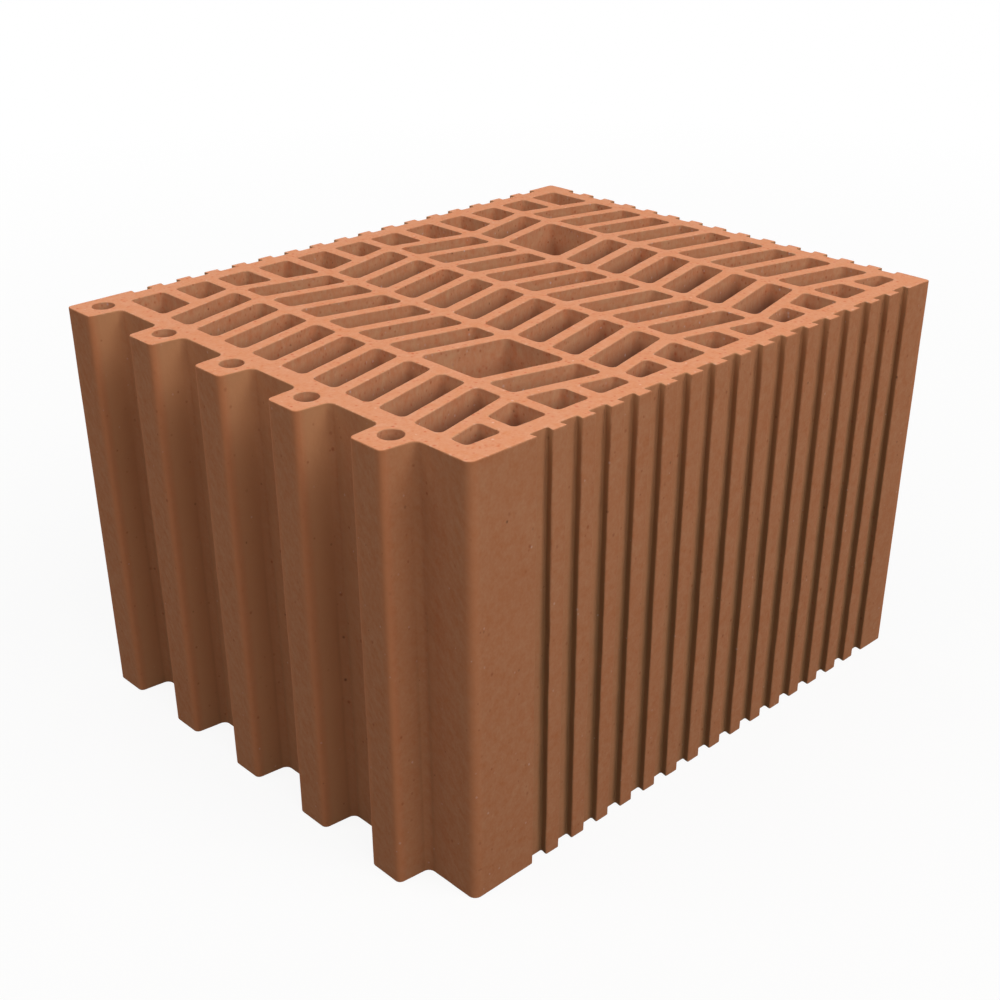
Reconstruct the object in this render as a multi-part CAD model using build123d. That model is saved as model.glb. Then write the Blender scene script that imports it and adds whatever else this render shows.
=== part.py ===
from build123d import *
import math
import os

# Overall size, in millimetres. The block stands on one bed face, with its length along X,
# the thickness of the wall it makes along Y and its height along Z.
LENGTH = 300.0
THICKNESS = 240.0
HEIGHT = 190.0

# Tongues on the -X end, drafted towards their tips. The first one is flush with the +Y
# face, and the margin is from the -Y face to the middle of the last one.
TONGUES = 5
TONGUE_REACH = 15.0
TONGUE_MARGIN = 37.0
TONGUE_TIP_WIDTH = 17.4
TONGUE_ROOT_WIDTH = 20.4
TONGUE_TIP_RADIUS = 2.5
TONGUE_ROOT_RADIUS = 3.0
TONGUE_HOLE_RADIUS = 4.9
TONGUE_HOLE_FROM_TIP = 12.1

# Corners of the outline
CORNER_RADIUS = 3.5
GROOVED_CORNER_RADIUS = 1.8

# Dovetail grooves that hold the plaster, on the -Y, +X and +Y faces. The margin is from
# each end of a face to the middle of its outermost groove, and the pitch is adjusted to
# suit the face. The -Y face leaves out its grooves nearest to the tongues.
GROOVE_MOUTH = 7.5
GROOVE_FLOOR = 8.9
GROOVE_DEPTH = 3.4
GROOVE_MARGIN = 21.15
GROOVE_PITCH = 15.2
GROOVES_LEFT_OUT = 1

# Walls and webs between the cells
TONGUE_WALL = 9.5
END_WALL = 10.5
SIDE_WALL = 11.7
COLUMN_WEB = 5.7
ROW_WEB = 5.9
SPLIT_WEB = 6.2

# Columns of slanted cells, which lean the other way in every second column
COLUMNS = 6
ROWS = 9
SLANT = 13.6
NEAR_CELL = 12.8
FAR_CELL = 21.1
CELL_RADIUS = 2.4
SMALL_CELL_RADIUS = 2.0

# Grip holes: a column, the lower of its two joined rows and the count of rows joined
GRIPS = [(1, 1), (4, 6)]
GRIP_ROWS = 2
GRIP_RADIUS = 2.8

# Faces of the block that the rest is measured from
X_TIP = -LENGTH / 2
X_ROOT = X_TIP + TONGUE_REACH
X_END = LENGTH / 2
Y_NEAR = -THICKNESS / 2
Y_FAR = THICKNESS / 2


def rounded_wire(corners, two_flats=False):
    """A closed wire through (x, y, radius) corners, each one rounded by its radius.
    With two_flats, two short flats from end to end of each arc stand for it."""
    count = len(corners)
    starts = []
    ends = []
    middles = []
    for i in range(count):
        here = Vector(corners[i][0], corners[i][1])
        before = Vector(corners[i - 1][0], corners[i - 1][1])
        after = Vector(corners[(i + 1) % count][0], corners[(i + 1) % count][1])
        radius = corners[i][2]
        back = (before - here).normalized()
        ahead = (after - here).normalized()
        half_angle = math.acos(max(-1.0, min(1.0, back.dot(ahead)))) / 2
        trim = radius / math.tan(half_angle)
        bisector = (back + ahead).normalized()
        starts.append(here + back * trim)
        ends.append(here + ahead * trim)
        middles.append(here + bisector * (radius / math.sin(half_angle) - radius))
    edges = []
    for i in range(count):
        if corners[i][2] > 0 and two_flats:
            edges.append(Line(starts[i], middles[i]))
            edges.append(Line(middles[i], ends[i]))
        elif corners[i][2] > 0:
            edges.append(ThreePointArc(starts[i], middles[i], ends[i]))
        edges.append(Line(ends[i], starts[(i + 1) % count]))
    return Wire(edges)


def evenly(first, last, spaces):
    """Places from first to last with so many equal spaces between them."""
    return [first + (last - first) * i / spaces for i in range(spaces + 1)]


def groove_centres(low, high):
    """Evenly spaced grooves along a face that runs from low to high."""
    first = low + GROOVE_MARGIN
    last = high - GROOVE_MARGIN
    return evenly(first, last, round((last - first) / GROOVE_PITCH))


def groove_corners(centre, turn):
    """Four sharp corners of one dovetail groove as (along the face, depth)."""
    mouth = turn * GROOVE_MOUTH / 2
    floor = turn * GROOVE_FLOOR / 2
    return [
        (centre - mouth, 0.0),
        (centre - floor, GROOVE_DEPTH),
        (centre + floor, GROOVE_DEPTH),
        (centre + mouth, 0.0),
    ]


def tongue_centres():
    """Middles of the tongues along Y, from the +Y face to the -Y face."""
    return evenly(Y_FAR - TONGUE_ROOT_WIDTH / 2, Y_NEAR + TONGUE_MARGIN, TONGUES - 1)


def outline():
    """The outer wire, anticlockwise from the -X -Y corner."""
    side = groove_centres(X_ROOT, X_END)
    end = groove_centres(Y_NEAR, Y_FAR)
    corners = [(X_ROOT, Y_NEAR, CORNER_RADIUS)]
    for centre in side[GROOVES_LEFT_OUT:]:
        for along, depth in groove_corners(centre, 1):
            corners.append((along, Y_NEAR + depth, 0.0))
    corners.append((X_END, Y_NEAR, GROOVED_CORNER_RADIUS))
    for centre in end:
        for along, depth in groove_corners(centre, 1):
            corners.append((X_END - depth, along, 0.0))
    corners.append((X_END, Y_FAR, GROOVED_CORNER_RADIUS))
    for centre in reversed(side):
        for along, depth in groove_corners(centre, -1):
            corners.append((along, Y_FAR - depth, 0.0))
    corners.append((X_TIP, Y_FAR, TONGUE_TIP_RADIUS))
    tip = TONGUE_TIP_WIDTH / 2
    root = TONGUE_ROOT_WIDTH / 2
    for index, centre in enumerate(tongue_centres()):
        if index > 0:
            corners.append((X_ROOT, centre + root, TONGUE_ROOT_RADIUS))
            corners.append((X_TIP, centre + tip, TONGUE_TIP_RADIUS))
        corners.append((X_TIP, centre - tip, TONGUE_TIP_RADIUS))
        corners.append((X_ROOT, centre - root, TONGUE_ROOT_RADIUS))
    return rounded_wire(corners)


def cell_corners(x_middle, left, right, low, high, low_rise, high_rise, radius):
    """Corners of a cell between two X values. low and high are its Y values at x_middle,
    and each of its two long sides climbs by its own rise for every millimetre along X."""
    return [
        (left, low + low_rise * (left - x_middle), radius),
        (right, low + low_rise * (right - x_middle), radius),
        (right, high + high_rise * (right - x_middle), radius),
        (left, high + high_rise * (left - x_middle), radius),
    ]


def cells():
    """All the cells of the section: slanted rows, grip holes and the split end rows."""
    first = X_ROOT + TONGUE_WALL
    width = (X_END - END_WALL - first - (COLUMNS - 1) * COLUMN_WEB) / COLUMNS
    field_low = Y_NEAR + SIDE_WALL + NEAR_CELL
    field_high = Y_FAR - SIDE_WALL - FAR_CELL
    pitch = (field_high - field_low - ROW_WEB) / ROWS
    height = pitch - ROW_WEB
    wires = []
    for column in range(COLUMNS):
        left = first + column * (width + COLUMN_WEB)
        right = left + width
        middle = left + width / 2
        rise = math.tan(math.radians(SLANT)) * (-1) ** column
        row = 0
        while row < ROWS:
            low = field_low + ROW_WEB + row * pitch
            joined = GRIP_ROWS if (column, row) in GRIPS else 1
            high = low + height + (joined - 1) * pitch
            radius = GRIP_RADIUS if joined > 1 else CELL_RADIUS
            corners = cell_corners(middle, left, right, low, high, rise, rise, radius)
            wires.append(rounded_wire(corners))
            row += joined
        halves = [(left, middle - SPLIT_WEB / 2), (middle + SPLIT_WEB / 2, right)]
        ends = [
            (Y_NEAR + SIDE_WALL, field_low, 0.0, rise),
            (field_high, Y_FAR - SIDE_WALL, rise, 0.0),
        ]
        for x0, x1 in halves:
            for low, high, low_rise, high_rise in ends:
                corners = cell_corners(
                    middle, x0, x1, low, high, low_rise, high_rise, SMALL_CELL_RADIUS
                )
                wires.append(rounded_wire(corners, two_flats=True))
    return wires


def tongue_holes():
    """One round hole through the height of each tongue."""
    x = X_TIP + TONGUE_HOLE_FROM_TIP
    return [
        Wire([CenterArc((x, y), TONGUE_HOLE_RADIUS, 0, 360)]) for y in tongue_centres()
    ]


def clay_block():
    """The whole block: its section drawn once and drawn up to its height."""
    section = Face(outline(), cells() + tongue_holes())
    return extrude(section, HEIGHT, dir=(0, 0, 1))


os.makedirs("parts", exist_ok=True)
block = clay_block()
export_step(block, "parts/clay_block.step")
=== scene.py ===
"""Looks of a hollow clay wall block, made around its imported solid. All lengths are in metres."""
import math
import random

import bmesh
import bpy
import numpy as np
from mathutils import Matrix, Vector, noise
from mathutils.geometry import delaunay_2d_cdt


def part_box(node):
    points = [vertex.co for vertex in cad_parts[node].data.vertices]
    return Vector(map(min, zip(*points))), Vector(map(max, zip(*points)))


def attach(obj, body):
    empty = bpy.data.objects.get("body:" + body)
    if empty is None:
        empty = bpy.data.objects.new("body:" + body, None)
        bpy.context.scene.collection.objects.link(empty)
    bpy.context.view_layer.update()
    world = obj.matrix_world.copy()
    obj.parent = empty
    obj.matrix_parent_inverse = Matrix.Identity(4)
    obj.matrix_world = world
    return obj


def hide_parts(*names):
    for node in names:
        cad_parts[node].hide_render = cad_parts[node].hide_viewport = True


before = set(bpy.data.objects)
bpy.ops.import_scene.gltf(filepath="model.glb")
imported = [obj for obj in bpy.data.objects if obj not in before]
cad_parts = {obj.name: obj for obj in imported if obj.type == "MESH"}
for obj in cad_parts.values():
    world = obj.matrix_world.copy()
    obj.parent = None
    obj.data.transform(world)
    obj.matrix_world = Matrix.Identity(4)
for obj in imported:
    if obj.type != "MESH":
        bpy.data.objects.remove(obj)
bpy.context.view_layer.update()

MM = 0.001

# The block in the frame
NODE = "clay_block"
BODY = "root"
block_low, block_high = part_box(NODE)
HEIGHT = block_high.z - block_low.z

# Reading the section from the solid: vertices nearer than the weld are one, a face whose
# normal rises by more than this looks up, and a stretch shorter than the least side belongs
# to a rounded corner
WELD = 0.001 * MM
LOOKS_UP = 0.5
LEAST_SIDE = 2.0 * MM

# Points along the section. The corners that are sharp in the solid get a small worn radius.
SIDE_STEP = 3.0 * MM
CORNER_STEP = math.radians(18)
WORN_CORNER_STEP = math.radians(30)
WORN_CORNER = 0.6 * MM
HOLE_POINTS = 28

# Rings of points up the outer walls and up the cell walls, as shares of their height
OUTSIDE_LEVELS = np.linspace(0, 1, 39)
CELL_LEVELS = np.array([0, 0.15, 0.85, 1])

# Arrises between the walls and the bed faces, worn round by handling. Each has two rings of
# points, one at its edge and one at its shoulder, half way round.
ARRIS = 0.32 * MM
ARRIS_CHANGE = 0.16 * MM
ARRIS_PATCH = 7.0 * MM
ARRIS_RINGS = 2
SHOULDER = 1 - math.sqrt(0.5)

# What the finishes read at each point of the block: whether it is on a worn arris, how much
# of the view out of it clay blocks across a groove and between two tongues, how sharply the
# section turns outwards round it, and how deep it lies in a cell. All but the first set where
# painted light and shade go.
WORN = "worn_arris"
SHELTERED = "sheltered"
RECESSED = "recessed"
PAINTED_HIGHLIGHT = "painted_corner_highlight"
DEEP = "deep"
MEASURES = (WORN, SHELTERED, RECESSED, PAINTED_HIGHLIGHT, DEEP)

# How far a point of the outer walls looks for clay in front of it, and in which directions
SHELTER_REACH = {SHELTERED: 9.0 * MM, RECESSED: 32.0 * MM}
SHELTER_ANGLES = np.radians(np.arange(-75, 76, 15))

# The painted shade in the grooves is darker further down from the upper bed face: their shelter
# counts for the first share at that face and for the second one from this depth on
GROOVE_SHADE_DEPTH = 100.0 * MM
GROOVE_SHADE_SHARES = (0.7, 1.2)

# How far round a point the turns of the section are added up for the painted highlight on the
# corners that stand out. Points beside a groove, where clay blocks more than this share of the
# view, get no painted highlight.
HIGHLIGHT_REACH = 2.0 * MM
HIGHLIGHT_CLEAR = 0.1

# Order of the block's finishes
OUTSIDE, CELLS, BEDS = range(3)

# Unevenness of the walls: long soft waves from drying, drag lines of the die that run the
# whole height, and shorter waves that start where clay blocks the first share of the view
# and are full in the grooves, from the second share on
WALL_WAVE = 0.16 * MM
WALL_WAVE_LENGTH = 28.0 * MM
DRAG_DEPTH = 0.05 * MM
DRAG_SPACING = 5.0 * MM
GROOVE_WAVE = 0.34 * MM
GROOVE_WAVE_LENGTH = 9.0 * MM
GROOVE_WAVE_SHARES = (0.08, 0.25)

# Unevenness of the bed faces, in shallow furrows along the way of the cutting wire
BED_RELIEF = 0.06 * MM
FURROW_WIDTH = 6.0 * MM
FURROW_LENGTH = 40.0 * MM

# Points on the bed faces: a triangular grid, shifted at random by up to this share of its
# spacing, and clear of all edges. The tolerance for its triangles is in millimetres.
BED_GRID = 2.5 * MM
BED_GRID_SHIFT = 0.25
BED_GRID_SEED = 11
BED_CLEARANCE = 1.2 * MM
MESHING_TOLERANCE = 1e-5

# Where each unevenness is read in the noise, so that no two of them are alike
ARRIS_NOISE = (3.1, 5.7, 1.3)
WAVE_NOISE = (2.0, 9.0, 4.0)
DRAG_NOISE = (6.0, 3.0, 5.0)
GROOVE_NOISE = (8.0, 2.0, 7.0)
LOWER_BED_NOISE = (7.0, 1.0, 2.0)
UPPER_BED_NOISE = (1.0, 4.0, 8.0)

# Camera, fitted to the photograph
CAMERA_PLACE = (-0.4333, -0.4450, 0.3936)
CAMERA_TURN = (61.8811, 0.1252, -43.8645)
FOCAL_LENGTH = 52.34
SENSOR_WIDTH = 36.0
CAMERA_SHIFT = (0.00163, 0.0485)

# Fired clay: red-firing earthenware with burnt clay grains and a little lime in it. The
# same clay has three finishes, and each has its own tones, patches, grains and relief, all
# in millimetres.
# A shade of painted light or shade is the measure that it follows, where it starts and is full, and
# its tone.
# A patch layer is its three sizes along X, Y and Z, its slant about X in degrees and its
# weight in the tone. A relief layer is the same with its depth.
# A grain is its spacing in the clay, radius, colour, strongest cover and the depth of its
# pit, and all grains are drawn longer along Z by the finish's own length.
# The grit of the clay is finer than a render of the whole block shows, so the finest patches
# and reliefs are drawn at about 1 mm.

# Bed faces: cut by a wire while soft, so they are open and sandy, orange, with the grains
# cut through and faint furrows along the way of the wire
WIRE_CUT = {
    "dark": "DC8B5C",
    "pale": "E19F7B",
    "shades": [],
    "patches": [
        ((70, 70, 70), 0, 0.2),
        ((13, 13, 13), 0, 0.25),
        ((3.2, 3.2, 3.2), 0, 0.85),
        ((1.1, 1.1, 1.1), 0, 0.9),
    ],
    "grain_length": 1.0,
    "grains": [
        (2.5, 1.05, "D0623D", 0.95, 0.0),
        (5.0, 0.75, "F6E0D2", 0.50, 0.0),
        (7.0, 0.60, "8E5036", 0.60, 0.12),
    ],
    "relief": [
        ((0.9, 0.9, 0.9), 0, 0.016),
        ((25, 1.3, 1.3), 0, 0.010),
    ],
}

# Outer faces: pressed smooth by the mouth of the steel die, so they are denser and browner,
# with faint drag lines up the whole height, few pits, and scuffs that slant over both heads.
# The sides of the tongues get a painted lighter, less red tone that stands in for light
# between them, and the walls of the grooves a painted duller brown shade, darker further
# down. The rounded corners that stand out get a painted paler highlight.
SCUFF_SLANT = -35
DIE_SKIN = {
    "dark": "B67048",
    "pale": "BE845E",
    "shades": [
        # Painted light between the tongues, painted shade in the grooves, and a painted highlight on
        # the corners that stand out
        (RECESSED, 0.20, 0.60, "C48B61"),
        (SHELTERED, 0.30, 0.65, "936C48"),
        (PAINTED_HIGHLIGHT, 0.10, 1.00, "C87F54"),
    ],
    "patches": [
        ((60, 60, 120), 0, 0.25),
        ((14, 14, 22), SCUFF_SLANT, 0.35),
        ((3.4, 2.6, 5.2), SCUFF_SLANT, 1.1),
        ((1.1, 1.1, 1.3), 0, 0.8),
    ],
    "grain_length": 1.2,
    "grains": [
        (5.0, 0.95, "8F4226", 0.70, 0.0),
        (7.0, 0.65, "E2CDC2", 0.45, 0.0),
        (9.0, 0.80, "4E2A1A", 0.85, 0.15),
    ],
    "relief": [
        ((1.1, 1.1, 1.5), 0, 0.034),
        ((3.0, 2.4, 5.0), SCUFF_SLANT, 0.11),
        ((1.7, 1.7, 60), 0, 0.010),
    ],
}

# Cell walls: the same skin off the cores of the die, which left fine upright lines on it and
# laid more of the grains bare. Deeper in the cells the clay gets a painted darker shade.
CORE_SKIN = {
    "dark": "CC8159",
    "pale": "D09B74",
    # Painted shade deeper in the cells
    "shades": [(DEEP, 0.22, 0.75, "96644A")],
    "patches": [
        ((14, 14, 40), 0, 0.5),
        ((2.8, 2.8, 4.4), 0, 1.3),
        ((1.0, 1.0, 1.8), 0, 0.9),
    ],
    "grain_length": 1.2,
    "grains": [
        (2.5, 0.90, "AC4B28", 0.75, 0.0),
        (3.8, 0.75, "D2C6C6", 0.70, 0.0),
        (6.0, 0.70, "5E3320", 0.80, 0.15),
    ],
    "relief": [
        ((1.1, 1.1, 1.5), 0, 0.022),
        ((1.2, 1.2, 60), 0, 0.006),
    ],
}

# All three are matt. The dark tone is the more open clay and the rougher one.
ROUGHNESS = 0.92
ROUGHNESS_CHANGE = 0.08
SPECULAR = 0.25

# Detail of the noise that draws the patches and the relief
PATCH_DETAIL = 1.0

# Grains: the smallest as a share of the radius given above, where their full colour starts
# as a share of their own radius, and how far and in what sizes their ragged edges wander
LEAST_GRAIN = 0.6
GRAIN_EDGE = 0.15
GRAIN_WARP = 0.35 * MM
GRAIN_WARP_SIZE = 0.8 * MM

# Pale dust that handling leaves in spots along the worn arrises: the size of its spots,
# where they start and are full in their noise, and how much they cover then
ARRIS_DUST = "EBB89C"
DUST_SPOT = 2.6 * MM
DUST_START = 0.58
DUST_FULL = 0.74
DUST_COVER = 0.55

# Studio: soft square lamps as place, side and watts, all turned to the middle of the block
LAMPS = {
    "front": ((0.0, -1.1, 1.5), 1.2, 13.1),
    "front_left": ((-0.9, -0.9, 1.4), 1.2, 6.4),
    "front_right": ((0.5, -1.3, 1.2), 1.0, 7.0),
    "left": ((-0.93, 0.36, 1.43), 1.0, 7.6),
    "right": ((1.45, 0.25, 0.75), 1.2, 4.5),
    "back": ((0.15, 1.4, 0.9), 1.2, 7.5),
}
LAMP_TARGET = (0.0, 0.0, 0.1)
SURROUNDINGS_WHITE = "FFFFFF"

# Floor: white to the camera with the block's faint shadow on it, pale and shaded where it
# shows through the cells, and a dull grey to the light that falls on the block
FLOOR_SIZE = 14.0
FLOOR_PALE = "F4F3F1"
FLOOR_GREY = "6E6E6E"

# How white the floor is by the block, and where its fade to all white starts and ends
FLOOR_WHITE_NEAR = 0.9
FLOOR_FADE_FROM = 0.35
FLOOR_FADE_TO = 1.3

# Middle of the field of cells, and how far it reaches from there
CELLS_MIDDLE = (0.007, 0.0, 0.0)
CELLS_REACH = (0.133, 0.109, 1.0)


def linear(colour):
    """A colour written as sRGB hex, such as DE9571, as linear red, green, blue and alpha."""
    parts = [int(colour[i:i + 2], 16) / 255 for i in (0, 2, 4)]
    return [c / 12.92 if c <= 0.04045 else ((c + 0.055) / 1.055) ** 2.4 for c in parts] + [1.0]


def add_node(tree, kind, inputs=None, **settings):
    """Adds a node, sets its properties, and sets or links its inputs by their identifiers. A
    node given as an input is linked by the first of its outputs in use."""
    node = tree.nodes.new(kind)
    for name, value in settings.items():
        setattr(node, name, value)
    sockets = {socket.identifier: socket for socket in node.inputs}
    for name, value in (inputs or {}).items():
        if isinstance(value, bpy.types.Node):
            value = next(socket for socket in value.outputs if socket.enabled)
        if isinstance(value, bpy.types.NodeSocket):
            tree.links.new(value, sockets[name])
        else:
            sockets[name].default_value = value
    return node


def new_material(name):
    """A material with nothing in its node tree yet."""
    material = bpy.data.materials.new(name)
    material.use_nodes = True
    material.node_tree.nodes.clear()
    return material


def bed_outlines(node):
    """The edges of the upper bed face as closed arrays of complex x + iy, each with the clay
    on its left."""
    mesh = bmesh.new()
    mesh.from_mesh(node.data)
    bmesh.ops.remove_doubles(mesh, verts=mesh.verts, dist=WELD)
    mesh.normal_update()
    following = {}
    for edge in mesh.edges:
        upper = [loop for loop in edge.link_loops if loop.face.normal.z > LOOKS_UP]
        if len(upper) == 1:
            following[upper[0].vert] = upper[0].link_loop_next.vert
    outlines = []
    while following:
        here = next(iter(following))
        outline = []
        while here in following:
            outline.append(complex(here.co.x, here.co.y))
            here = following.pop(here)
        outlines.append(np.array(outline))
    mesh.free()
    return outlines


def spaced(start, end):
    """Evenly spaced points from start to just before end."""
    count = max(1, math.ceil(abs(end - start) / SIDE_STEP))
    return start + (end - start) * np.arange(count) / count


def corner_arc(entry, leave, ahead, turn, step):
    """Points of the arc that leaves entry in the direction ahead and turns by turn on its way
    to leave, up to just before leave."""
    radius = math.copysign(abs(leave - entry) / (2 * math.sin(abs(turn) / 2)), turn)
    count = max(2, math.ceil(abs(turn) / step))
    angles = turn * np.arange(count) / count
    return entry + 1j * ahead * radius * (1 - np.exp(1j * angles))


def smooth_outline(outline):
    """The outline again in evenly spaced points, with true arcs at its corners and a small
    worn radius where a corner was sharp."""
    ends = np.roll(outline, -1)
    sides = [(a, b) for a, b in zip(outline, ends) if abs(b - a) > LEAST_SIDE]
    if not sides:
        centre = outline.mean()
        radius = abs(outline - centre).mean()
        return centre + radius * np.exp(-2j * math.pi * np.arange(HOLE_POINTS) / HOLE_POINTS)
    corners = []
    for (start, entry), (leave, end) in zip(sides, sides[1:] + sides[:1]):
        ahead = (entry - start) / abs(entry - start)
        beyond = (end - leave) / abs(end - leave)
        turn = float(np.angle(beyond / ahead))
        step = CORNER_STEP
        if abs(leave - entry) < WELD:
            trim = WORN_CORNER * math.tan(abs(turn) / 2)
            entry, leave = entry - ahead * trim, leave + beyond * trim
            step = WORN_CORNER_STEP
        corners.append((entry, leave, corner_arc(entry, leave, ahead, turn, step)))
    points = []
    for (_, leave, _), (entry, _, arc) in zip(corners[-1:] + corners[:-1], corners):
        points += [spaced(leave, entry), arc]
    return np.concatenate(points)


def into_clay(points):
    """At each point, the step into the clay that shifts both its neighbouring edges by one."""
    ahead = np.roll(points, -1) - points
    ahead /= abs(ahead)
    behind = np.roll(ahead, 1)
    bisector = (ahead + behind) / abs(ahead + behind)
    return 1j * bisector / (bisector.real * ahead.real + bisector.imag * ahead.imag)


def shelter(points, reach):
    """How much of the view out from each point of an outline, in plan, clay within reach
    blocks."""
    outwards = -into_clay(points)
    outwards /= abs(outwards)
    along = np.roll(points, -1) - points
    to_start = points[None, :] - points[:, None]
    blocked = np.zeros(len(points))
    for angle in SHELTER_ANGLES:
        rays = (outwards * np.exp(1j * angle))[:, None]
        across = (rays.conj() * along).imag
        across[abs(across) < WELD ** 2] = WELD ** 2
        distance = (to_start.conj() * along).imag / across
        share = (to_start.conj() * rays).imag / across
        hit = (distance > WELD) & (distance < reach) & (share >= 0) & (share <= 1)
        blocked += hit.any(1) * math.cos(angle)
    return blocked / np.cos(SHELTER_ANGLES).sum()


def painted_corner_highlight(points, blocked):
    """How sharply an outline turns outwards round each point, in right angles, where no
    groove is near."""
    # The turn sets how strong the painted highlight on that corner is
    ahead = np.roll(points, -1) - points
    turn = np.angle(ahead / np.roll(ahead, 1))
    near = abs(points[:, None] - points[None, :]) < HIGHLIGHT_REACH
    clear = (near * blocked).max(1) < HIGHLIGHT_CLEAR
    return np.clip(near @ turn / (math.pi / 2), 0, 1) * clear


def clear_width(points):
    """The width of a cell along Y, on average over its length along X."""
    area = abs((points.conj() * np.roll(points, -1)).imag.sum()) / 2
    return area / np.ptp(points.real)


def noise_at(places, sizes, offset):
    """Smooth noise from -1 to 1 at an array of places, with patches of the given sizes."""
    scale = 1 / np.array(sizes)
    return np.array([noise.noise(Vector(p * scale) + Vector(offset)) for p in places])


def arris_radii(points, level):
    """How far the arris is worn at each point of an outline."""
    places = np.stack([points.real, points.imag, np.full(len(points), level)], 1)
    return ARRIS + ARRIS_CHANGE * noise_at(places, (ARRIS_PATCH,) * 3, ARRIS_NOISE)


def bed_drop(points, offset):
    """How far inside its plane a bed face lies at each point."""
    places = np.stack([points.real, points.imag, np.zeros(len(points))], 1)
    furrows = noise_at(places, (FURROW_LENGTH, FURROW_WIDTH, HEIGHT), offset)
    return BED_RELIEF * (1 + furrows) / 2


def wall_rings(points, levels, grooved):
    """Rings of points of one wall, from the lower bed face to the upper one. Levels are its
    rings between the arrises, and grooved is how much of the grooves' waves each point of
    the outline takes part in."""
    inwards = into_clay(points)
    low = arris_radii(points, 0.0)
    high = arris_radii(points, HEIGHT)
    low_drop = bed_drop(points, LOWER_BED_NOISE)
    high_drop = bed_drop(points, UPPER_BED_NOISE)
    rows = [(low_drop, low), (low_drop + SHOULDER * low, SHOULDER * low)]
    bottom = low_drop + low
    top = HEIGHT - high_drop - high
    for level in levels:
        z = bottom + (top - bottom) * level
        places = np.stack([points.real, points.imag, z], 1)
        wave = WALL_WAVE * noise_at(places, (WALL_WAVE_LENGTH,) * 3, WAVE_NOISE)
        drag_sizes = (DRAG_SPACING, DRAG_SPACING, HEIGHT)
        drag = DRAG_DEPTH * noise_at(places, drag_sizes, DRAG_NOISE)
        uneven = noise_at(places, (GROOVE_WAVE_LENGTH,) * 3, GROOVE_NOISE)
        rows.append((z, wave + drag + GROOVE_WAVE * grooved * uneven))
    rows.append((HEIGHT - high_drop - SHOULDER * high, SHOULDER * high))
    rows.append((HEIGHT - high_drop, high))
    rings = []
    for z, depth in rows:
        place = points + inwards * depth
        rings.append(np.stack([place.real, place.imag, z], 1))
    return rings


def wall(outline, outside):
    """The rings of the outer wall or of a cell wall, and its measures at each of their
    points."""
    count = len(outline)
    blocked = {name: np.zeros(count) for name in SHELTER_REACH}
    corners = np.zeros(count)
    if outside:
        blocked = {name: shelter(outline, reach) for name, reach in SHELTER_REACH.items()}
        corners = painted_corner_highlight(outline, blocked[SHELTERED])
    grooved = np.interp(blocked[SHELTERED], GROOVE_WAVE_SHARES, (0, 1))
    rings = wall_rings(outline, OUTSIDE_LEVELS if outside else CELL_LEVELS, grooved)
    measured = {name: [] for name in MEASURES}
    for index, ring in enumerate(rings):
        on_arris = index < ARRIS_RINGS or index >= len(rings) - ARRIS_RINGS
        down = HEIGHT - ring[:, 2]
        depth = np.minimum(ring[:, 2], down)
        # Painted shade in the grooves, stronger further down
        groove_shade = np.interp(down, (0, GROOVE_SHADE_DEPTH), GROOVE_SHADE_SHARES)
        measured[WORN] += [float(on_arris)] * count
        measured[SHELTERED] += list(blocked[SHELTERED] * groove_shade)
        measured[RECESSED] += list(blocked[RECESSED])
        # Painted highlight on the corners that stand out
        measured[PAINTED_HIGHLIGHT] += list(corners)
        # How deep a point lies in a cell, for the painted shade there
        measured[DEEP] += [0.0] * count if outside else list(depth / clear_width(outline))
    return rings, measured


def wall_faces(first, count, rings):
    """The quads between so many rings of one wall, all looking out of the clay. The wall's
    points start at the block's point first, and each ring has count of them."""
    faces = []
    for level in range(rings - 1):
        here = first + level * count
        for i in range(count):
            j = (i + 1) % count
            faces.append((here + i, here + j, here + count + j, here + count + i))
    return faces


def all_edges(outlines):
    """The starts and the ends of the edges of all the outlines."""
    ends = [np.roll(outline, -1) for outline in outlines]
    return np.concatenate(outlines), np.concatenate(ends)


def crossings_and_reach(points, starts, ends):
    """For each point, whether an odd count of edges lies to its right, and how near the
    nearest edge is."""
    along = ends - starts
    odd = []
    reach = []
    for point in points:
        to_point = point - starts
        share = np.clip((to_point * along.conj()).real / abs(along) ** 2, 0, 1)
        reach.append(abs(to_point - along * share).min())
        spans = (starts.imag > point.imag) != (ends.imag > point.imag)
        left, rise = starts[spans], along[spans]
        crossed = left.real + (point.imag - left.imag) * rise.real / rise.imag
        odd.append(np.count_nonzero(crossed > point.real) % 2 == 1)
    return np.array(odd), np.array(reach)


def bed_grid(outlines):
    """Points inside the clay of a bed face, in a jittered triangular grid."""
    shift = random.Random(BED_GRID_SEED)
    row_step = BED_GRID * math.sqrt(3) / 2
    rows = math.ceil((block_high.y - block_low.y) / row_step)
    columns = math.ceil((block_high.x - block_low.x) / BED_GRID)
    points = []
    for row in range(rows):
        for column in range(columns):
            along = column + row % 2 / 2 + shift.uniform(-1, 1) * BED_GRID_SHIFT
            across = row + shift.uniform(-1, 1) * BED_GRID_SHIFT
            x = block_low.x + along * BED_GRID
            y = block_low.y + across * row_step
            points.append(complex(x, y))
    points = np.array(points)
    inside, reach = crossings_and_reach(points, *all_edges(outlines))
    return points[inside & (reach > BED_CLEARANCE)]


def bed_triangles(outlines, grid):
    """Triangles over the clay of a bed face, as indices into all outline points and then the
    grid points. They are found in millimetres."""
    points = np.concatenate(outlines + [grid])
    edges = []
    first = 0
    for outline in outlines:
        count = len(outline)
        edges += [(first + i, first + (i + 1) % count) for i in range(count)]
        first += count
    flat = [Vector((p.real / MM, p.imag / MM)) for p in points]
    _, _, faces, originals, _, _ = delaunay_2d_cdt(flat, edges, [], 0, MESHING_TOLERANCE)
    triangles = np.array([[originals[v][0] for v in face] for face in faces])
    inside, _ = crossings_and_reach(points[triangles].mean(1), *all_edges(outlines))
    return triangles[inside]


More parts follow.
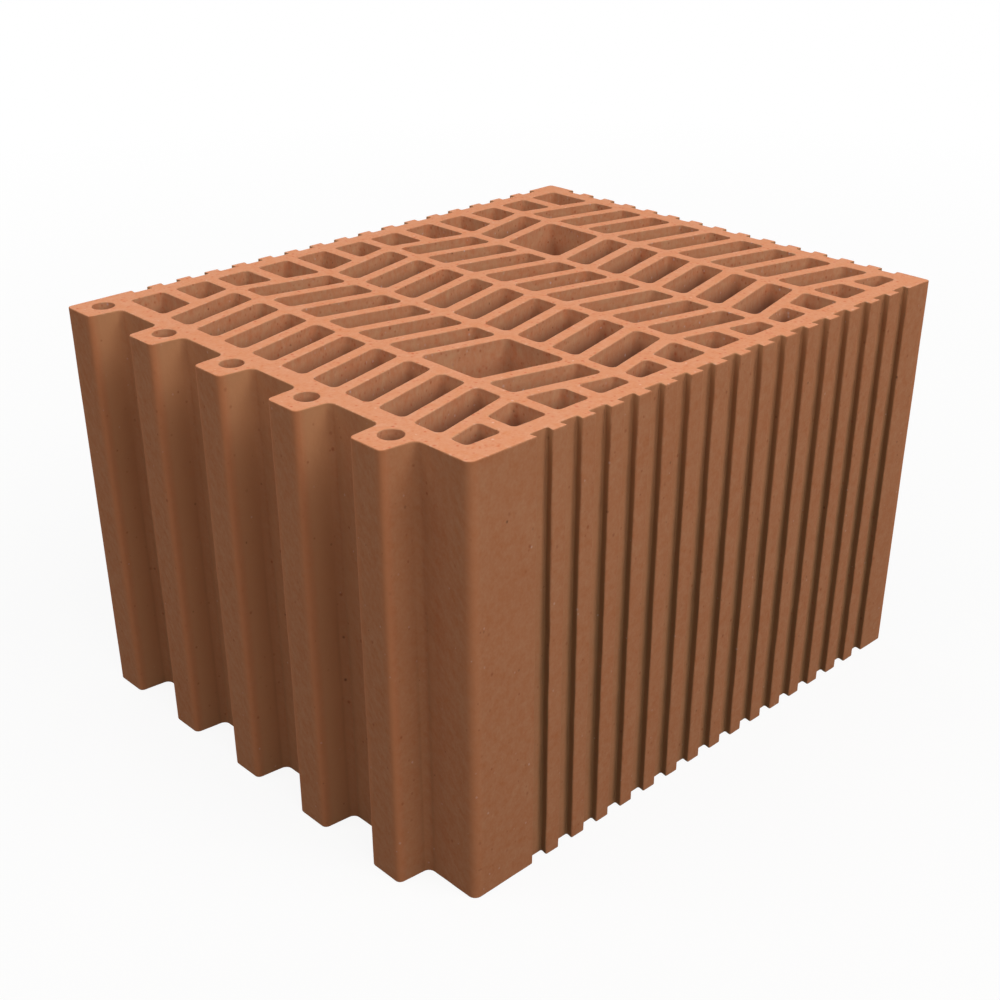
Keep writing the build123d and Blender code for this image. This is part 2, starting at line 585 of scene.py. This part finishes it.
def block_mesh():
    """The whole block as one closed mesh: walls of quads, and bed faces of triangles."""
    outlines = [smooth_outline(outline) for outline in bed_outlines(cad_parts[NODE])]
    grid = bed_grid(outlines)
    triangles = bed_triangles(outlines, grid)
    largest = max(len(outline) for outline in outlines)
    vertices = []
    faces = []
    finishes = []
    measures = {name: [] for name in MEASURES}
    lower = []
    upper = []
    for outline in outlines:
        outside = len(outline) == largest
        rings, measured = wall(outline, outside)
        first = len(vertices)
        vertices += [tuple(point) for ring in rings for point in ring]
        quads = wall_faces(first, len(outline), len(rings))
        faces += quads
        finishes += [OUTSIDE if outside else CELLS] * len(quads)
        for name in MEASURES:
            measures[name] += measured[name]
        lower += range(first, first + len(outline))
        upper += range(len(vertices) - len(outline), len(vertices))
    for bed, level, inwards, offset in (
        (lower, 0.0, 1, LOWER_BED_NOISE),
        (upper, HEIGHT, -1, UPPER_BED_NOISE),
    ):
        bed += range(len(vertices), len(vertices) + len(grid))
        drops = bed_drop(grid, offset)
        vertices += [(p.real, p.imag, level + inwards * drop) for p, drop in zip(grid, drops)]
        for name in MEASURES:
            measures[name] += [0.0] * len(grid)
    faces += [(lower[a], lower[c], lower[b]) for a, b, c in triangles]
    faces += [(upper[a], upper[b], upper[c]) for a, b, c in triangles]
    finishes += [BEDS] * (len(faces) - len(finishes))
    mesh = bpy.data.meshes.new("fired_clay_block")
    mesh.from_pydata(vertices, [], faces)
    mesh.polygons.foreach_set("material_index", finishes)
    mesh.polygons.foreach_set("use_smooth", [True] * len(faces))
    for name, values in measures.items():
        mesh.attributes.new(name, "FLOAT", "POINT").data.foreach_set("value", values)
    mesh.validate()
    return mesh


def layered(tree, place, layers, total):
    """Adds layers of noise to a total, each stretched to its sizes and slanted."""
    for sizes, slant, amount in layers:
        slanted = add_node(
            tree, "ShaderNodeMapping",
            {
                "Vector": place, "Rotation": (math.radians(slant), 0, 0),
                "Scale": [size * MM for size in sizes],
            },
            vector_type="TEXTURE",
        )
        patches = add_node(
            tree, "ShaderNodeTexNoise", {"Vector": slanted, "Scale": 1.0, "Detail": PATCH_DETAIL}
        )
        total = add_node(
            tree, "ShaderNodeMath", {"Value": patches, "Value_001": amount, "Value_002": total},
            operation="MULTIPLY_ADD",
        )
    return total


def toned(tree, tone, finish):
    """The colour of the clay between its dark and its pale tone, with its shades over it."""
    colour = add_node(
        tree, "ShaderNodeMix",
        {"Factor_Float": tone, "A_Color": linear(finish["dark"]), "B_Color": linear(finish["pale"])},
        data_type="RGBA",
    )
    # The shades are painted light and shade: lighter between the tongues, darker in the grooves and
    # deep in the cells, and a highlight on the corners that stand out
    for measure, start, full, shade in finish["shades"]:
        measured = add_node(tree, "ShaderNodeAttribute", attribute_name=measure).outputs["Fac"]
        share = add_node(
            tree, "ShaderNodeMapRange", {"Value": measured, "From Min": start, "From Max": full}
        )
        colour = add_node(
            tree, "ShaderNodeMix",
            {"Factor_Float": share, "A_Color": colour, "B_Color": linear(shade)},
            data_type="RGBA",
        )
    return colour


def grain_place(tree, place, length):
    """The place that grains are read at, shifted a little for ragged edges and drawn out by
    so many times along Z."""
    ragged = add_node(
        tree, "ShaderNodeTexNoise", {"Vector": place, "Scale": 1 / GRAIN_WARP_SIZE}
    ).outputs["Color"]
    shift = add_node(
        tree, "ShaderNodeVectorMath", {"Vector": ragged, "Scale": GRAIN_WARP}, operation="SCALE"
    )
    warped = add_node(
        tree, "ShaderNodeVectorMath", {"Vector": place, "Vector_001": shift}, operation="ADD"
    )
    return add_node(
        tree, "ShaderNodeVectorMath",
        {"Vector": warped, "Vector_001": (1, 1, 1 / length)}, operation="MULTIPLY",
    )


def grained(tree, place, finish, colour, height):
    """The colour and the height again, with the grains of the clay and their pits in them."""
    drawn_out = grain_place(tree, place, finish["grain_length"])
    for spacing, radius, grain_colour, strongest, depth in finish["grains"]:
        cells = add_node(
            tree, "ShaderNodeTexVoronoi", {"Vector": drawn_out, "Scale": 1 / (spacing * MM)}
        )
        chance = add_node(tree, "ShaderNodeSeparateColor", {"Color": cells.outputs["Color"]})
        reach = add_node(
            tree, "ShaderNodeMapRange",
            {
                "Value": chance.outputs["Green"],
                "To Min": LEAST_GRAIN * radius / spacing, "To Max": radius / spacing,
            },
        )
        core = add_node(
            tree, "ShaderNodeMath", {"Value": reach, "Value_001": GRAIN_EDGE}, operation="MULTIPLY"
        )
        cover = add_node(
            tree, "ShaderNodeMapRange",
            {"Value": cells.outputs["Distance"], "From Min": reach, "From Max": core},
        )
        strength = add_node(
            tree, "ShaderNodeMath",
            {"Value": chance.outputs["Red"], "Value_001": strongest}, operation="MULTIPLY",
        )
        shown = add_node(
            tree, "ShaderNodeMath", {"Value": cover, "Value_001": strength}, operation="MULTIPLY"
        )
        colour = add_node(
            tree, "ShaderNodeMix",
            {"Factor_Float": shown, "A_Color": colour, "B_Color": linear(grain_colour)},
            data_type="RGBA",
        )
        if depth > 0:
            height = add_node(
                tree, "ShaderNodeMath",
                {"Value": cover, "Value_001": -depth, "Value_002": height},
                operation="MULTIPLY_ADD",
            )
    return colour, height


def dusted(tree, place, colour):
    """The colour again, with spots of pale dust on the worn arrises."""
    worn = add_node(tree, "ShaderNodeAttribute", attribute_name=WORN)
    spots = add_node(tree, "ShaderNodeTexNoise", {"Vector": place, "Scale": 1 / DUST_SPOT})
    dusty = add_node(
        tree, "ShaderNodeMapRange",
        {"Value": spots, "From Min": DUST_START, "From Max": DUST_FULL, "To Max": DUST_COVER},
    )
    dust = add_node(
        tree, "ShaderNodeMath",
        {"Value": worn.outputs["Fac"], "Value_001": dusty}, operation="MULTIPLY",
    )
    return add_node(
        tree, "ShaderNodeMix",
        {"Factor_Float": dust, "A_Color": colour, "B_Color": linear(ARRIS_DUST)},
        data_type="RGBA",
    )


def clay(name, finish):
    """Fired clay in one of its three finishes."""
    material = new_material(name)
    tree = material.node_tree
    place = add_node(tree, "ShaderNodeTexCoord").outputs["Object"]
    # The noise is a half on average, and from this start the tone is a half on average too
    start = (1 - sum(weight for _, _, weight in finish["patches"])) / 2
    tone = layered(tree, place, finish["patches"], start)
    height = layered(tree, place, finish["relief"], 0.0)
    colour = toned(tree, tone, finish)
    colour, height = grained(tree, place, finish, colour, height)
    colour = dusted(tree, place, colour)
    roughness = add_node(
        tree, "ShaderNodeMapRange",
        {
            "Value": tone,
            "To Min": ROUGHNESS + ROUGHNESS_CHANGE / 2, "To Max": ROUGHNESS - ROUGHNESS_CHANGE / 2,
        },
    )
    relief = add_node(tree, "ShaderNodeBump", {"Height": height, "Distance": MM})
    shader = add_node(
        tree, "ShaderNodeBsdfPrincipled",
        {
            "Base Color": colour, "Roughness": roughness, "Normal": relief,
            "Specular IOR Level": SPECULAR,
        },
    )
    add_node(tree, "ShaderNodeOutputMaterial", {"Surface": shader})
    return material


def clay_block():
    """The block itself, which stands for the plain solid. Its finishes are in the order that
    its faces give them."""
    piece = bpy.data.objects.new("fired_clay_block", block_mesh())
    bpy.context.scene.collection.objects.link(piece)
    piece.data.materials.append(clay("fired_clay_die_skin", DIE_SKIN))
    piece.data.materials.append(clay("fired_clay_core_skin", CORE_SKIN))
    piece.data.materials.append(clay("fired_clay_wire_cut", WIRE_CUT))
    piece.modifiers.new("even_normals", "WEIGHTED_NORMAL")
    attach(piece, BODY)
    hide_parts(NODE)


def camera():
    """The camera, where the photograph was taken from."""
    data = bpy.data.cameras.new("camera")
    data.lens = FOCAL_LENGTH
    data.sensor_width = SENSOR_WIDTH
    data.shift_x, data.shift_y = CAMERA_SHIFT
    placed = bpy.data.objects.new("camera", data)
    placed.location = CAMERA_PLACE
    placed.rotation_euler = [math.radians(angle) for angle in CAMERA_TURN]
    bpy.context.scene.collection.objects.link(placed)
    bpy.context.scene.camera = placed


def seen_directly(tree):
    """One for the rays that show the surroundings to the camera, and nought for the rest."""
    rays = add_node(tree, "ShaderNodeLightPath").outputs
    seen = rays["Is Camera Ray"]
    for other in ("Is Glossy Ray", "Is Transmission Ray"):
        seen = add_node(
            tree, "ShaderNodeMath", {"Value": seen, "Value_001": rays[other]}, operation="MAXIMUM"
        ).outputs["Value"]
    return seen


def outside_cells(tree, place):
    """Nought under the field of cells, and one outside it."""
    share = add_node(
        tree, "ShaderNodeMapping",
        {"Vector": place, "Location": CELLS_MIDDLE, "Scale": CELLS_REACH}, vector_type="TEXTURE",
    )
    reach = add_node(tree, "ShaderNodeVectorMath", {"Vector": share}, operation="ABSOLUTE")
    axes = add_node(tree, "ShaderNodeSeparateXYZ", {"Vector": reach}).outputs
    farther = add_node(
        tree, "ShaderNodeMath", {"Value": axes["X"], "Value_001": axes["Y"]}, operation="MAXIMUM"
    )
    return add_node(
        tree, "ShaderNodeMath", {"Value": farther, "Value_001": 1.0}, operation="GREATER_THAN"
    )


def floor():
    """A plain pale floor, which turns to plain white away from the block."""
    bpy.ops.mesh.primitive_plane_add(size=FLOOR_SIZE)
    placed = bpy.context.object
    placed.name = "floor"
    material = new_material("matt_pale_floor")
    tree = material.node_tree
    place = add_node(tree, "ShaderNodeTexCoord").outputs["Object"]
    away = add_node(tree, "ShaderNodeVectorMath", {"Vector": place}, operation="LENGTH")
    faded = add_node(
        tree, "ShaderNodeMapRange",
        {
            "Value": away.outputs["Value"], "From Min": FLOOR_FADE_FROM,
            "From Max": FLOOR_FADE_TO, "To Min": FLOOR_WHITE_NEAR,
        },
    )
    white = add_node(
        tree, "ShaderNodeMath", {"Value": faded, "Value_001": outside_cells(tree, place)},
        operation="MULTIPLY",
    )
    pale = add_node(tree, "ShaderNodeBsdfDiffuse", {"Color": linear(FLOOR_PALE)})
    glow = add_node(tree, "ShaderNodeEmission")
    shown = add_node(tree, "ShaderNodeMixShader", {"Fac": white, "Shader": pale, "Shader_001": glow})
    grey = add_node(tree, "ShaderNodeBsdfDiffuse", {"Color": linear(FLOOR_GREY)})
    surface = add_node(
        tree, "ShaderNodeMixShader",
        {"Fac": seen_directly(tree), "Shader": grey, "Shader_001": shown},
    )
    add_node(tree, "ShaderNodeOutputMaterial", {"Surface": surface})
    placed.data.materials.append(material)


def lamps():
    """Soft lamps round the block, which the camera doesn't see."""
    for name, (location, side, watts) in LAMPS.items():
        data = bpy.data.lights.new(name, "AREA")
        data.size = side
        data.energy = watts
        lamp = bpy.data.objects.new(name, data)
        lamp.location = location
        towards = Vector(LAMP_TARGET) - lamp.location
        lamp.rotation_euler = towards.to_track_quat("-Z", "Y").to_euler()
        lamp.visible_camera = False
        bpy.context.scene.collection.objects.link(lamp)


def surroundings():
    """White surroundings that give no light of their own."""
    world = bpy.data.worlds.new("white_surroundings")
    bpy.context.scene.world = world
    world.use_nodes = True
    background = world.node_tree.nodes["Background"]
    background.inputs["Color"].default_value = linear(SURROUNDINGS_WHITE)
    world.node_tree.links.new(seen_directly(world.node_tree), background.inputs["Strength"])


bpy.context.scene.view_settings.view_transform = "Standard"
clay_block()
camera()
floor()
lamps()
surroundings()
